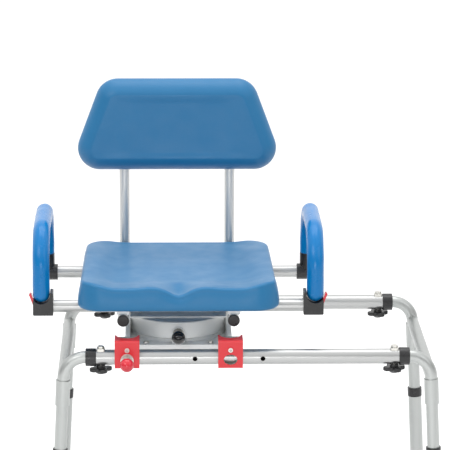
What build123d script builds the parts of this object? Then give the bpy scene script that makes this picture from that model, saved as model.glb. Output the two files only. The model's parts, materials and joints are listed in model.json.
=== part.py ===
from build123d import *
import os
from math import cos, radians, sin, sqrt, tan

os.makedirs("parts", exist_ok=True)

# Bath transfer bench: a padded swivel seat on a carriage that slides along two rails, carried by
# four telescopic legs. X runs along the rails, the seat's front faces -Y, and the floor is Z = 0.
# All sizes are in millimetres. Heights marked "above rail" are measured from the rails' axes.

# ---- where the bench stands: the origin is the middle of the whole object's box, on the floor
BENCH_X = 16.36
BENCH_Y = 23.8
RAIL_Z = 430.0

# ---- rails and end frames
RAIL_OD = 31.75
RAIL_WALL = 3.1
RAIL_Y = 209.0
RAIL_HALF = 322.0
TUBE_OD = 25.4
TUBE_WALL = 1.6
STUB_START = 284.0
BOLT_X = 303.5
BOLT_R = 4.0
COLLAR_START = 313.0
COLLAR_LENGTH = 22.0
COLLAR_OD = 37.0
LEG_X = 381.0
CROSSBAR_DROP = 43.5
SPLAY = 3.0
LEG_BEND = 45.0
SLEEVE_OD = 30.0
SLEEVE_START = 5.0
SLEEVE_LENGTH = 54.0
STAR_KNOB_R = 24.0

# ---- telescopic legs, measured down each leg from the crossbar's height
UPPER_LEG_END = 219.0
LOWER_LEG_START = 157.0
LOWER_LEG_OD = 29.0
LOWER_LEG_BORE = TUBE_OD + 0.1
LEG_COLLAR_OD = 31.5
LEG_COLLAR_LENGTH = 20.0
BUTTON_AT = 185.0
BUTTON_R = 3.1
BUTTON_BACK = 3.7
BUTTON_TIP = 12.35
HEIGHT_STEP = 25.4
HEIGHT_HOLES = 4
FOOT_R = 19.0
FOOT_HEIGHT = 34.0

# ---- carriage, measured from the seat's middle
SEAT_X = -142.5
BRACKET_X = 106.5
BRACKET_WIDTH = 51.0
BRACKET_FACE = 23.0
BRACKET_TOP = 41.0
BRACKET_DROP = 17.5
SHEET = 3.0
NOTCH_R = 22.0
SCREW_Z = 21.0
SCREW_R = 2.5
SCREW_HEAD_R = 4.8
INDEX_PITCH = 140.0
INDEX_HOLES = 3
INDEX_R = 5.0
BAR_WIDTH = 9.0
BAR_TOP = 29.0
BEAM_BOTTOM = -12.5
BEAM_Y = 104.0
BEAM_DEPTH = 24.0
PLATE_BOTTOM = -4.5
PLATE_TOP = PLATE_BOTTOM + SHEET
PLATE_LENGTH = 232.0

# ---- turntable
DRUM_R = 100.5
DRUM_BOTTOM = 7.0
DRUM_TOP = 43.0
RACE_R = 68.0
RACE_WIDTH = 16.0
BALL_R = 4.0
BALL_Z = 12.0
PIVOT_R = 6.0

# ---- lock plungers
KNOB_R = 14.2
LOCK_TRAVEL = 7.0
SWIVEL_PIN_Z = 20.0
SWIVEL_HOLE_R = 4.0

# ---- seat frame and arms, measured from the seat's middle and above the rails
FRAME_X = 115.0
FRAME_OD = 22.2
FRAME_Z = 64.2
FRAME_FRONT = -160.0
POST_Y = 215.0
POST_TOP = 476.0
POST_BEND = 50.0
ARM_TUBE_Y = 138.0
ARM_TUBE_Z = 90.0
FRONT_TUBE_HALF = 272.0
REAR_TUBE_HALF = 303.3
ARM_X = 285.0
ARM_TOP = 241.0
ARM_BEND = 75.0
ARM_END_Z = 117.0
ARM_SOCKET_TOP = 133.0
PAD_R = 18.0
CORE_R = 11.0

# ---- cushions
SEAT_BOTTOM = 99.5
SEAT_TOP = 156.0
SEAT_FRONT = -222.0
SEAT_BACK = 199.0
SEAT_FRONT_HALF = 210.0
SEAT_BACK_HALF = 204.0
SEAT_FRONT_CORNER = 50.0
SEAT_BACK_CORNER = 60.0
SEAT_SHOULDER = 14.0
BACK_BOTTOM = 308.0
BACK_TOP = 508.5
BACK_FRONT = 155.0
BACK_REAR = 199.0
BACK_TOP_HALF = 162.0
BACK_BOTTOM_HALF = 237.0
BACK_LOW_CORNER = 48.0
BACK_HIGH_CORNER = 49.0
BACK_SHOULDER = 12.0
BACK_SCREW_Z = (BACK_BOTTOM + 54.0, BACK_TOP - 60.0)

# ---- fits
RUN = 0.05
GAP = 0.1

STAND = (Align.CENTER, Align.CENTER, Align.MIN)
SIDES = {"left": -1, "right": 1}
ROWS = {"front": -1, "rear": 1}


def place(x, y, z):
    """A point given from the bench's middle and above the rails."""
    return (BENCH_X + x, BENCH_Y + y, RAIL_Z + z)


def facing(x, y, z, direction):
    """A plane at a point of the bench, whose normal is the direction given."""
    return Plane(origin=place(x, y, z), z_dir=direction)


def leg_plane(side, row, along=0.0):
    """A plane across a leg: its normal runs down the leg and its x axis points inwards."""
    angle = radians(SPLAY)
    down = Vector(side * sin(angle), 0, -cos(angle))
    inwards = Vector(-side * cos(angle), 0, -sin(angle))
    top = Vector(*place(side * LEG_X, row * RAIL_Y, -CROSSBAR_DROP))
    return Plane(origin=top + down * along, x_dir=inwards, z_dir=down)


def button_plane(side, row, along, out=0.0):
    """A plane across a snap button: its normal points out of the leg, towards the bench's middle."""
    across = leg_plane(side, row, along)
    return Plane(origin=across.origin + across.x_dir * out, x_dir=across.z_dir, z_dir=across.x_dir)


def rod(plane, radius, length, mode=Mode.ADD):
    """Add or cut a round bar that starts on a plane and runs along its normal."""
    with Locations(plane):
        Cylinder(radius, length, align=STAND, mode=mode)


def block(x, y, z, size, mode=Mode.ADD):
    """Add or cut a box that is centred in X and Y and stands on a height."""
    with Locations(place(x, y, z)):
        Box(*size, align=STAND, mode=mode)


def finish(piece, name):
    """Label one finished piece and write it to its own file."""
    piece.part.label = name
    export_step(piece.part, f"parts/{name}.step")


# =================================================================== rails
def rail(row):
    with BuildPart() as tube:
        end = facing(-RAIL_HALF, row * RAIL_Y, 0, (1, 0, 0))
        rod(end, RAIL_OD / 2, 2 * RAIL_HALF)
        rod(end, RAIL_OD / 2 - RAIL_WALL, 2 * RAIL_HALF, Mode.SUBTRACT)
        for side in SIDES.values():
            above = facing(side * BOLT_X, row * RAIL_Y, RAIL_OD, (0, 0, -1))
            rod(above, BOLT_R + GAP, 2 * RAIL_OD, Mode.SUBTRACT)
        if row == ROWS["front"]:
            for step in range(INDEX_HOLES):
                x = SEAT_X - BRACKET_X + step * INDEX_PITCH
                rod(facing(x, row * (RAIL_Y + RAIL_OD), 0, (0, 1, 0)), INDEX_R, RAIL_OD, Mode.SUBTRACT)
    return tube


for row_name, row in ROWS.items():
    finish(rail(row), f"{row_name}_rail")


# =================================================================== welded end frames
def leg_frame(side):
    """Two bent leg tubes, the crossbar between them and a sleeve below each joint."""
    corner_x = LEG_X - CROSSBAR_DROP * tan(radians(SPLAY))
    leg_end = LEG_X + UPPER_LEG_END * sin(radians(SPLAY))
    leg_end_z = -CROSSBAR_DROP - UPPER_LEG_END * cos(radians(SPLAY))
    with BuildPart() as frame:
        bends = []
        for row in ROWS.values():
            with BuildLine() as bend:
                FilletPolyline(
                    place(side * STUB_START, row * RAIL_Y, 0),
                    place(side * corner_x, row * RAIL_Y, 0),
                    place(side * leg_end, row * RAIL_Y, leg_end_z),
                    radius=LEG_BEND,
                )
            bends.append(bend.line)
            with BuildSketch(Plane(origin=bend.line @ 0, z_dir=bend.line % 0)):
                Circle(TUBE_OD / 2)
            sweep(path=bend.line)
            rod(leg_plane(side, row, SLEEVE_START), SLEEVE_OD / 2, SLEEVE_LENGTH)
        rod(facing(side * LEG_X, -RAIL_Y, -CROSSBAR_DROP, (0, 1, 0)), TUBE_OD / 2, 2 * RAIL_Y)
        inner_end = RAIL_Y - TUBE_OD / 2
        crossbar_bore = facing(side * LEG_X, -inner_end, -CROSSBAR_DROP, (0, 1, 0))
        rod(crossbar_bore, TUBE_OD / 2 - TUBE_WALL, 2 * inner_end, Mode.SUBTRACT)
        for bend_line in bends:
            with BuildSketch(Plane(origin=bend_line @ 0, z_dir=bend_line % 0)):
                Circle(TUBE_OD / 2 - TUBE_WALL)
            sweep(path=bend_line, mode=Mode.SUBTRACT)
        for row in ROWS.values():
            above = facing(side * BOLT_X, row * RAIL_Y, RAIL_OD, (0, 0, -1))
            rod(above, BOLT_R + GAP, 2 * RAIL_OD, Mode.SUBTRACT)
            rod(button_plane(side, row, BUTTON_AT), BUTTON_R + RUN, TUBE_OD, Mode.SUBTRACT)
    return frame


left_leg_frame = leg_frame(SIDES["left"])
finish(left_leg_frame, "left_leg_frame")
with BuildPart() as right_leg_frame:
    mirror(left_leg_frame.part, about=Plane.YZ.offset(BENCH_X))
finish(right_leg_frame, "right_leg_frame")


# Each collar is stepped: its inner half grips the rail and its outer half the leg tube.
with BuildPart() as rail_collars:
    for side in SIDES.values():
        for row in ROWS.values():
            start = facing(side * COLLAR_START, row * RAIL_Y, 0, (side, 0, 0))
            rod(start, COLLAR_OD / 2, COLLAR_LENGTH)
            rod(start, TUBE_OD / 2 + GAP, COLLAR_LENGTH, Mode.SUBTRACT)
            rod(start, RAIL_OD / 2 + GAP, RAIL_HALF - COLLAR_START + GAP, Mode.SUBTRACT)
    outer_rims = rail_collars.edges().filter_by(GeomType.CIRCLE).group_by(SortBy.RADIUS)[-1]
    fillet(outer_rims, radius=1.5)
finish(rail_collars, "rail_collars")

# Bolt with a hexagon head above the rail; the star knob turns on its lower end.
BOLT_TOP = 19.5
BOLT_BOTTOM = -30.5
BOLT_HEAD_R = 7.0
BOLT_HEAD = 4.5
with BuildPart() as rail_bolts:
    for side in SIDES.values():
        for row in ROWS.values():
            low = facing(side * BOLT_X, row * RAIL_Y, BOLT_BOTTOM, (0, 0, 1))
            rod(low, BOLT_R, BOLT_TOP - BOLT_BOTTOM + 1)
            with BuildSketch(facing(side * BOLT_X, row * RAIL_Y, BOLT_TOP, (0, 0, 1))):
                RegularPolygon(BOLT_HEAD_R, 6)
            extrude(amount=BOLT_HEAD)
finish(rail_bolts, "rail_bolts")

# Saddle washers fit the rail's curve under the bolt heads.
SADDLE_FOOT = 10.0
SADDLE_SIZE = 17.0
with BuildPart() as saddle_washers:
    for side in SIDES.values():
        for row in ROWS.values():
            saddle_size = (SADDLE_SIZE, SADDLE_SIZE, BOLT_TOP - GAP - SADDLE_FOOT)
            block(side * BOLT_X, row * RAIL_Y, SADDLE_FOOT, saddle_size)
            along_rail = facing(side * BOLT_X - 20, row * RAIL_Y, 0, (1, 0, 0))
            rod(along_rail, RAIL_OD / 2 + GAP, 40, Mode.SUBTRACT)
            bolt_line = facing(side * BOLT_X, row * RAIL_Y, 0, (0, 0, 1))
            rod(bolt_line, BOLT_R + GAP, 30, Mode.SUBTRACT)
    fillet(saddle_washers.edges().filter_by(Axis.Z), radius=3)
finish(saddle_washers, "saddle_washers")


# =================================================================== star knobs
KNOB_TOP = -16.5
STAR_TOP = -21.5
STAR_HEIGHT = 8.0
STAR_BELLY = 5.0
LOBE_R = 9.0
KNOB_HUB_R = 15.0
KNOB_NECK_R = 9.0
LOBES = 4


def star_knob(side, row):
    """A four-lobed hand knob with a rounded belly below and a neck that meets the rail."""
    bottom = facing(side * BOLT_X, row * RAIL_Y, STAR_TOP - STAR_HEIGHT, (0, 0, 1))
    with BuildPart() as knob:
        with BuildSketch(bottom):
            Circle(KNOB_HUB_R)
            with PolarLocations(STAR_KNOB_R - LOBE_R, LOBES, start_angle=20):
                Circle(LOBE_R)
            fillet(vertices(), radius=3)
        extrude(amount=STAR_HEIGHT)
        fillet(edges().group_by(Axis.Z)[0], radius=2.5)
        fillet(edges().group_by(Axis.Z)[-1], radius=2)
        with BuildSketch(bottom):
            Circle(KNOB_HUB_R - 1)
        extrude(amount=-STAR_BELLY, taper=50)
        rod(bottom, KNOB_NECK_R, KNOB_TOP - STAR_TOP + STAR_HEIGHT)
        rod(bottom.offset(-2.5), BOLT_R + RUN, 40, Mode.SUBTRACT)
    return knob


for side_name, side in SIDES.items():
    for row_name, row in ROWS.items():
        finish(star_knob(side, row), f"star_knob_{row_name}_{side_name}")


# =================================================================== telescopic legs
FLOOR_AT = (RAIL_Z - CROSSBAR_DROP) / cos(radians(SPLAY))
TUBE_END_AT = FLOOR_AT - 12.0


def lower_leg(side, row):
    """The outer tube that slides up over the leg, with a row of height holes on its inner side."""
    with BuildPart() as leg:
        rod(leg_plane(side, row, LOWER_LEG_START), LOWER_LEG_OD / 2, TUBE_END_AT - LOWER_LEG_START)
        rod(leg_plane(side, row, LOWER_LEG_START), LOWER_LEG_BORE / 2, FLOOR_AT, Mode.SUBTRACT)
        for step in range(HEIGHT_HOLES):
            at = BUTTON_AT + step * HEIGHT_STEP
            rod(button_plane(side, row, at), BUTTON_R + GAP, LOWER_LEG_OD, Mode.SUBTRACT)
    return leg


def leg_collar(side, row):
    """A plastic ring that caps the top of the lower leg."""
    lip = 2.5
    top = leg_plane(side, row, LOWER_LEG_START - lip)
    with BuildPart() as collar:
        rod(top, LEG_COLLAR_OD / 2, LEG_COLLAR_LENGTH)
        fillet(collar.edges(), radius=1.0)
        rod(top, TUBE_OD / 2 + RUN, LEG_COLLAR_LENGTH, Mode.SUBTRACT)
        rod(top.offset(lip - GAP), LOWER_LEG_OD / 2 + RUN, LEG_COLLAR_LENGTH, Mode.SUBTRACT)
    return collar


def rubber_foot(side, row):
    """A flared tip around the end of the lower leg, cut level with the floor."""
    overrun = 4.0
    top_at = FLOOR_AT - FOOT_HEIGHT
    neck_r = LOWER_LEG_OD / 2 + 3.0
    top = leg_plane(side, row, top_at)
    with BuildPart() as foot:
        rod(top, neck_r, FOOT_HEIGHT + overrun)
        with BuildSketch(leg_plane(side, row, FLOOR_AT - 14.0)):
            Circle(neck_r)
        with BuildSketch(leg_plane(side, row, FLOOR_AT - 6.0)):
            Circle(FOOT_R)
        loft()
        rod(leg_plane(side, row, FLOOR_AT - 6.0), FOOT_R, 6.0 + overrun)
        fillet(foot.edges().sort_by(Axis.Z)[-1], radius=1.5)
        rod(top, LOWER_LEG_OD / 2 + RUN, TUBE_END_AT - top_at + GAP, Mode.SUBTRACT)
        split(bisect_by=Plane.XY, keep=Keep.TOP)
    return foot


def snap_button(side, row):
    """A round button with a shoulder inside the leg, drawn back flush with the leg's skin."""
    with BuildPart() as button:
        rod(button_plane(side, row, BUTTON_AT, BUTTON_BACK), BUTTON_R, BUTTON_TIP - BUTTON_BACK)
        fillet(button.edges().filter_by(GeomType.CIRCLE), radius=1.0)
        rod(button_plane(side, row, BUTTON_AT, BUTTON_BACK - 0.4), BUTTON_R + 1.4, 2.0)
    return button


for side_name, side in SIDES.items():
    for row_name, row in ROWS.items():
        corner = f"{row_name}_{side_name}"
        finish(lower_leg(side, row), f"lower_leg_{corner}")
        finish(leg_collar(side, row), f"leg_collar_{corner}")
        finish(rubber_foot(side, row), f"rubber_foot_{corner}")
        finish(snap_button(side, row), f"snap_button_{corner}")

# U-shaped leaf springs push the snap buttons out; each sits inside its leg tube.
SPRING_BEND = 6.35
with BuildPart() as button_springs:
    for side in SIDES.values():
        for row in ROWS.values():
            across = button_plane(side, row, BUTTON_AT)
            with BuildSketch(Plane(origin=across.origin, x_dir=across.z_dir, z_dir=(0, 1, 0))):
                with BuildLine():
                    Polyline((-9.9, 16), (-9.9, -8))
                    ThreePointArc((-9.9, -8), (-9.9 + SPRING_BEND, -8 - SPRING_BEND), (2.8, -8))
                    Line((2.8, -8), (2.8, 6))
                trace(line_width=0.8)
            extrude(amount=3, both=True)
finish(button_springs, "button_springs")


# =================================================================== carriage
BAR_HALF = 188.9
BEAM_BOLT_X = 68.0
BEAM_BOLT_R = 3.0
with BuildPart() as carriage_frame:
    for side in SIDES.values():
        bar_x = SEAT_X + side * BRACKET_X
        bar_size = (BAR_WIDTH, 2 * BAR_HALF, BAR_TOP - BEAM_BOTTOM)
        block(bar_x, 0, BEAM_BOTTOM, bar_size)
    for row in ROWS.values():
        beam_size = (2 * BRACKET_X, BEAM_DEPTH, PLATE_BOTTOM - BEAM_BOTTOM)
        block(SEAT_X, row * BEAM_Y, BEAM_BOTTOM, beam_size)
        for side in SIDES.values():
            bolt_at = facing(SEAT_X + side * BEAM_BOLT_X, row * BEAM_Y, BEAM_BOTTOM - 1, (0, 0, 1))
            rod(bolt_at, BEAM_BOLT_R + GAP, 20, Mode.SUBTRACT)
            bar_end = facing(SEAT_X + side * BRACKET_X, row * RAIL_Y, SCREW_Z, (0, -row, 0))
            rod(bar_end, SCREW_R + GAP, 36, Mode.SUBTRACT)
finish(carriage_frame, "carriage_frame")


def bracket_profile(row):
    """Corners of the folded sheet seen from its end: a front wall and a flange over the rail."""
    front = row * (RAIL_Y + BRACKET_FACE)
    inside = row * (RAIL_Y + BRACKET_FACE - SHEET)
    back = row * (RAIL_Y - 20.0)
    outline = [
        (front, -BRACKET_DROP),
        (front, BRACKET_TOP),
        (back, BRACKET_TOP),
        (back, BRACKET_TOP - SHEET),
        (inside, BRACKET_TOP - SHEET),
        (inside, -BRACKET_DROP),
    ]
    return [(BENCH_Y + y, RAIL_Z + z) for y, z in outline]


HOUSING_R = 8.0
WINDOW = (14.0, 11.0)


def rail_brackets(row):
    """A pair of red sheet brackets that saddle one rail, notched at the back of the flange."""
    with BuildPart() as brackets:
        for side in SIDES.values():
            x = SEAT_X + side * BRACKET_X
            with BuildSketch(Plane.YZ.offset(BENCH_X + x - BRACKET_WIDTH / 2)):
                with BuildLine():
                    Polyline(*bracket_profile(row), close=True)
                make_face()
            extrude(amount=BRACKET_WIDTH)
        folds = brackets.edges().filter_by(Axis.X)
        outer_folds = folds.group_by(Axis.Z)[-1].sort_by(Axis.Y)
        outer_side = [outer_folds[i] for i in ((0, 1) if row < 0 else (-1, -2))]
        fillet(outer_side, radius=4.0)
        for side in SIDES.values():
            x = SEAT_X + side * BRACKET_X
            rod(facing(x, row * (RAIL_Y - 20.0), BRACKET_TOP - 10, (0, 0, 1)), NOTCH_R, 20, Mode.SUBTRACT)
            face = facing(x, row * (RAIL_Y + BRACKET_FACE + 1), 0, (0, -row, 0))
            screw_face = facing(x, row * (RAIL_Y + BRACKET_FACE + 1), SCREW_Z, (0, -row, 0))
            rod(screw_face, SCREW_R + GAP, SHEET + 2, Mode.SUBTRACT)
            if row == ROWS["front"] and side == SIDES["left"]:
                rod(face, HOUSING_R + GAP, SHEET + 2, Mode.SUBTRACT)
            else:
                with BuildSketch(Plane(origin=face.origin, x_dir=(1, 0, 0), z_dir=face.z_dir)):
                    Ellipse(*WINDOW)
                extrude(amount=SHEET + 2, mode=Mode.SUBTRACT)
    return brackets


for row_name, row in ROWS.items():
    finish(rail_brackets(row), f"{row_name}_rail_brackets")

# Nylon glides ride on the rails inside the brackets, and are open below the rail.
GLIDE_LENGTH = BRACKET_WIDTH - 0.4
GLIDE_BOTTOM = -13.0
GLIDE_HALF = 19.9
with BuildPart() as rail_glides:
    for row in ROWS.values():
        for side in SIDES.values():
            x = SEAT_X + side * BRACKET_X
            top = BRACKET_TOP - SHEET - GAP
            block(x, row * RAIL_Y, GLIDE_BOTTOM, (GLIDE_LENGTH, 2 * GLIDE_HALF, top - GLIDE_BOTTOM))
            end = facing(x - GLIDE_LENGTH, row * RAIL_Y, 0, (1, 0, 0))
            rod(end, RAIL_OD / 2 + RUN, 2 * GLIDE_LENGTH, Mode.SUBTRACT)
            face = facing(x, row * (RAIL_Y + BRACKET_FACE), 0, (0, -row, 0))
            screw_face = facing(x, row * (RAIL_Y + BRACKET_FACE), SCREW_Z, (0, -row, 0))
            rod(screw_face, SCREW_R + GAP, 2 * BRACKET_FACE, Mode.SUBTRACT)
            if row == ROWS["front"] and side == SIDES["left"]:
                rod(face, HOUSING_R + GAP, BRACKET_FACE, Mode.SUBTRACT)
            else:
                with BuildSketch(Plane(origin=face.origin, x_dir=(1, 0, 0), z_dir=face.z_dir)):
                    Ellipse(*WINDOW)
                extrude(amount=BRACKET_FACE, mode=Mode.SUBTRACT)
finish(rail_glides, "rail_glides")

CROSS_LENGTH = 6.0
CROSS_WIDTH = 1.2
BEAM_HEAD_R = 5.5
# Cross-head screws hold bracket, glide and side bar together; bolts hold the turntable's base.
with BuildPart() as carriage_screws:
    for row in ROWS.values():
        for side in SIDES.values():
            x = SEAT_X + side * BRACKET_X
            face = facing(x, row * (RAIL_Y + BRACKET_FACE + 2.6), SCREW_Z, (0, -row, 0))
            rod(face, SCREW_HEAD_R, 2.6)
            rod(face, SCREW_R, 50)
            for size in ((CROSS_LENGTH, CROSS_WIDTH), (CROSS_WIDTH, CROSS_LENGTH)):
                with BuildSketch(Plane(origin=face.origin, x_dir=(1, 0, 0), z_dir=face.z_dir)):
                    Rectangle(*size)
                extrude(amount=1.5, mode=Mode.SUBTRACT)
            under = facing(SEAT_X + side * BEAM_BOLT_X, row * BEAM_Y, BEAM_BOTTOM - 4.0, (0, 0, 1))
            with BuildSketch(under):
                RegularPolygon(BEAM_HEAD_R, 6)
            extrude(amount=4.0)
            rod(under, BEAM_BOLT_R, 20)
            with BuildSketch(facing(SEAT_X + side * BEAM_BOLT_X, row * BEAM_Y, PLATE_TOP, (0, 0, 1))):
                RegularPolygon(BEAM_HEAD_R, 6)
            extrude(amount=4.5)
finish(carriage_screws, "carriage_screws")


# =================================================================== turntable
SEAT_AXIS = facing(SEAT_X, 0, 0, (0, 0, 1))
TAB_FACE = 107.0
TAB_R = 14.0
SWIVEL_HOUSING_R = 7.0
TOP_RACE_Z = BALL_Z + BALL_R + RUN
LOW_RACE_Z = BALL_Z - BALL_R - RUN

with BuildPart() as turntable_base:
    block(SEAT_X, 0, PLATE_BOTTOM, (2 * BRACKET_X - BAR_WIDTH - 2 * GAP, PLATE_LENGTH, SHEET))
    rod(SEAT_AXIS.offset(PLATE_TOP), DRUM_R, DRUM_BOTTOM - PLATE_TOP - 0.7)
    rod(SEAT_AXIS.offset(PLATE_TOP), DRUM_R - 5, 20, Mode.SUBTRACT)
    rod(SEAT_AXIS.offset(PLATE_TOP), RACE_R + RACE_WIDTH / 2, LOW_RACE_Z - PLATE_TOP)
    rod(SEAT_AXIS.offset(PLATE_TOP), RACE_R - RACE_WIDTH / 2, 20, Mode.SUBTRACT)
    block(SEAT_X, -TAB_FACE + SHEET / 2, PLATE_TOP, (2 * TAB_R, SHEET, SWIVEL_PIN_Z - PLATE_TOP))
    tab_plane = facing(SEAT_X, -TAB_FACE, SWIVEL_PIN_Z, (0, 1, 0))
    rod(tab_plane, TAB_R, SHEET)
    rod(tab_plane.offset(-1), SWIVEL_HOUSING_R + GAP, SHEET + 2, Mode.SUBTRACT)
    rod(SEAT_AXIS.offset(PLATE_BOTTOM - 1), PIVOT_R + GAP, 20, Mode.SUBTRACT)
    for side in SIDES.values():
        for row in ROWS.values():
            bolt_at = facing(SEAT_X + side * BEAM_BOLT_X, row * BEAM_Y, PLATE_BOTTOM - 1, (0, 0, 1))
            rod(bolt_at, BEAM_BOLT_R + GAP, 10, Mode.SUBTRACT)
finish(turntable_base, "turntable_base")

BALLS = 12
with BuildPart() as bearing_balls:
    with Locations(SEAT_AXIS.offset(BALL_Z)):
        with PolarLocations(RACE_R, BALLS):
            Sphere(BALL_R)
finish(bearing_balls, "bearing_balls")

# The pivot bolt and its nut hold the drum down; the drum turns on the bolt's plain shank.
PIVOT_HEAD_R = 9.5
PIVOT_HEAD = 6.0
PIVOT_TOP = 51.0
with BuildPart() as pivot_bolt:
    head_at = PLATE_BOTTOM - PIVOT_HEAD - 2 * GAP
    with BuildSketch(SEAT_AXIS.offset(head_at)):
        RegularPolygon(PIVOT_HEAD_R, 6)
    extrude(amount=PIVOT_HEAD)
    rod(SEAT_AXIS.offset(head_at), PIVOT_R, PIVOT_TOP - head_at)
with BuildPart() as pivot_nut:
    with BuildSketch(SEAT_AXIS.offset(DRUM_TOP + 0.3)):
        RegularPolygon(PIVOT_HEAD_R, 6)
        Circle(PIVOT_R + 0.02, mode=Mode.SUBTRACT)
    extrude(amount=6.5)
with BuildPart() as pivot_set:
    add(pivot_bolt.part)
    add(pivot_nut.part)
finish(pivot_set, "pivot_bolt_and_nut")

# The drum turns on the balls and carries the seat; four holes in its wall take the lock pin.
HUB_R = 20.0
HUB_BOTTOM = PLATE_TOP + 1.3
PLATE_SCREW = (80.0, 30.0)
with BuildPart() as turntable_drum:
    rod(SEAT_AXIS.offset(DRUM_BOTTOM), DRUM_R, DRUM_TOP - DRUM_BOTTOM)
    fillet(turntable_drum.edges().group_by(Axis.Z)[-1], radius=3.0)
    rod(SEAT_AXIS.offset(DRUM_BOTTOM), DRUM_R - SHEET, DRUM_TOP - SHEET - DRUM_BOTTOM, Mode.SUBTRACT)
    rod(SEAT_AXIS.offset(TOP_RACE_Z), RACE_R + RACE_WIDTH / 2, DRUM_TOP - 1 - TOP_RACE_Z)
    rod(SEAT_AXIS.offset(TOP_RACE_Z), RACE_R - RACE_WIDTH / 2, DRUM_TOP - SHEET - TOP_RACE_Z, Mode.SUBTRACT)
    rod(SEAT_AXIS.offset(HUB_BOTTOM), HUB_R, DRUM_TOP - HUB_BOTTOM)
    rod(SEAT_AXIS.offset(HUB_BOTTOM - 1), PIVOT_R + RUN, 60, Mode.SUBTRACT)
    for turn in range(4):
        out = Vector(0, -1, 0).rotate(Axis.Z, 90 * turn)
        wall = facing(SEAT_X + out.X * 120, out.Y * 120, SWIVEL_PIN_Z, (-out.X, -out.Y, 0))
        rod(wall, SWIVEL_HOLE_R, 30, Mode.SUBTRACT)
    for side in SIDES.values():
        for row in ROWS.values():
            screw_x = SEAT_X + side * PLATE_SCREW[0]
            screw_at = facing(screw_x, row * PLATE_SCREW[1], DRUM_TOP - 10, (0, 0, 1))
            rod(screw_at, SCREW_R + GAP, 20, Mode.SUBTRACT)
finish(turntable_drum, "turntable_drum")

PLATE_HALF = FRAME_X - FRAME_OD / 2 - GAP
PLATE_Y = 66.0
FRAME_BOLT_Y = 45.0
FRAME_BOLT_R = 4.0
CLAMP_R = 3.0
with BuildPart() as top_plate:
    block(SEAT_X, 0, DRUM_TOP + GAP, (2 * PLATE_HALF, 2 * PLATE_Y, FRAME_Z + 10 - DRUM_TOP))
    fillet(top_plate.edges().group_by(Axis.Z)[0].filter_by(Axis.Y), radius=5.0)
    tray = (2 * (PLATE_HALF - SHEET), 2 * PLATE_Y, 50)
    block(SEAT_X, 0, DRUM_TOP + GAP + SHEET, tray, Mode.SUBTRACT)
    rod(SEAT_AXIS, 16.0, 60, Mode.SUBTRACT)
    for row in ROWS.values():
        across = facing(SEAT_X - FRAME_X, row * FRAME_BOLT_Y, FRAME_Z, (1, 0, 0))
        rod(across, FRAME_BOLT_R + 2 * GAP, 2 * FRAME_X, Mode.SUBTRACT)
        for side in SIDES.values():
            screw_x = SEAT_X + side * PLATE_SCREW[0]
            screw_at = facing(screw_x, row * PLATE_SCREW[1], DRUM_TOP - 10, (0, 0, 1))
            rod(screw_at, SCREW_R + GAP, 20, Mode.SUBTRACT)
finish(top_plate, "top_plate")


# =================================================================== lock plungers
SLIDE_PIN_X = SEAT_X - BRACKET_X
SLIDE_NOSE_R = 4.95
SLIDE_TIP = 226.1
SLIDE_NOSE = 12.0
SLIDE_MOUTH = 226.6
SLIDE_FRONT = 246.0
SLIDE_KNOB_Y = 268.0
SLIDE_FLANGE_R = 13.5
SWIVEL_NOSE_R = 3.95
SWIVEL_TIP = 102.0
SWIVEL_NOSE = 8.0
SWIVEL_MOUTH = 101.5
SWIVEL_FRONT = 115.0
SWIVEL_KNOB_Y = 137.0
SWIVEL_FLANGE_R = 12.0
CAP_WALL = 1.5
STEM_R = 2.0


def outwards(x, y, z):
    """A plane across a plunger: its normal points to the front of the bench."""
    return facing(x, -y, z, (0, -1, 0))


def housing(x, z, radius, bore, mouth, front, flange_r, flange_at):
    """Add one plunger housing: a flanged barrel with a spring chamber and a small hole for the stem."""
    rod(outwards(x, mouth, z), radius, front - mouth)
    rod(outwards(x, flange_at, z), flange_r, 2.5)
    rod(outwards(x, mouth - 1, z), bore, front - CAP_WALL - mouth + 1, Mode.SUBTRACT)
    rod(outwards(x, mouth, z), STEM_R + RUN, front, Mode.SUBTRACT)


with BuildPart() as plunger_housings:
    housing(SLIDE_PIN_X, 0, HOUSING_R, SLIDE_NOSE_R + RUN, SLIDE_MOUTH, SLIDE_FRONT,
            SLIDE_FLANGE_R, RAIL_Y + BRACKET_FACE)
    housing(SEAT_X, SWIVEL_PIN_Z, SWIVEL_HOUSING_R, SWIVEL_NOSE_R + RUN, SWIVEL_MOUTH, SWIVEL_FRONT,
            SWIVEL_FLANGE_R, TAB_FACE)
finish(plunger_housings, "plunger_housings")


def lock_pin(x, z, nose_r, tip, nose, knob_y):
    """A stepped steel pin: a thick nose that enters the lock hole and a thin stem to the knob."""
    with BuildPart() as pin:
        rod(outwards(x, tip, z), nose_r, nose)
        chamfer(pin.edges().sort_by(Axis.Y)[-1], length=0.8)
        rod(outwards(x, tip, z), STEM_R, knob_y - tip)
    return pin


def lock_knob(x, z, knob_y):
    """A ball knob with a short neck, bored for the pin's stem."""
    with BuildPart() as knob:
        with Locations(place(x, -knob_y, z)):
            Sphere(KNOB_R)
        rod(outwards(x, knob_y - KNOB_R, z), 6.0, KNOB_R)
        rod(outwards(x, knob_y - KNOB_R - 1, z), STEM_R + 0.02, KNOB_R + 1.2, Mode.SUBTRACT)
    return knob


finish(lock_pin(SLIDE_PIN_X, 0, SLIDE_NOSE_R, SLIDE_TIP, SLIDE_NOSE, SLIDE_KNOB_Y), "slide_lock_pin")
finish(lock_knob(SLIDE_PIN_X, 0, SLIDE_KNOB_Y), "slide_lock_knob")
swivel_pin = lock_pin(SEAT_X, SWIVEL_PIN_Z, SWIVEL_NOSE_R, SWIVEL_TIP, SWIVEL_NOSE, SWIVEL_KNOB_Y)
finish(swivel_pin, "swivel_lock_pin")
finish(lock_knob(SEAT_X, SWIVEL_PIN_Z, SWIVEL_KNOB_Y), "swivel_lock_knob")


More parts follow.
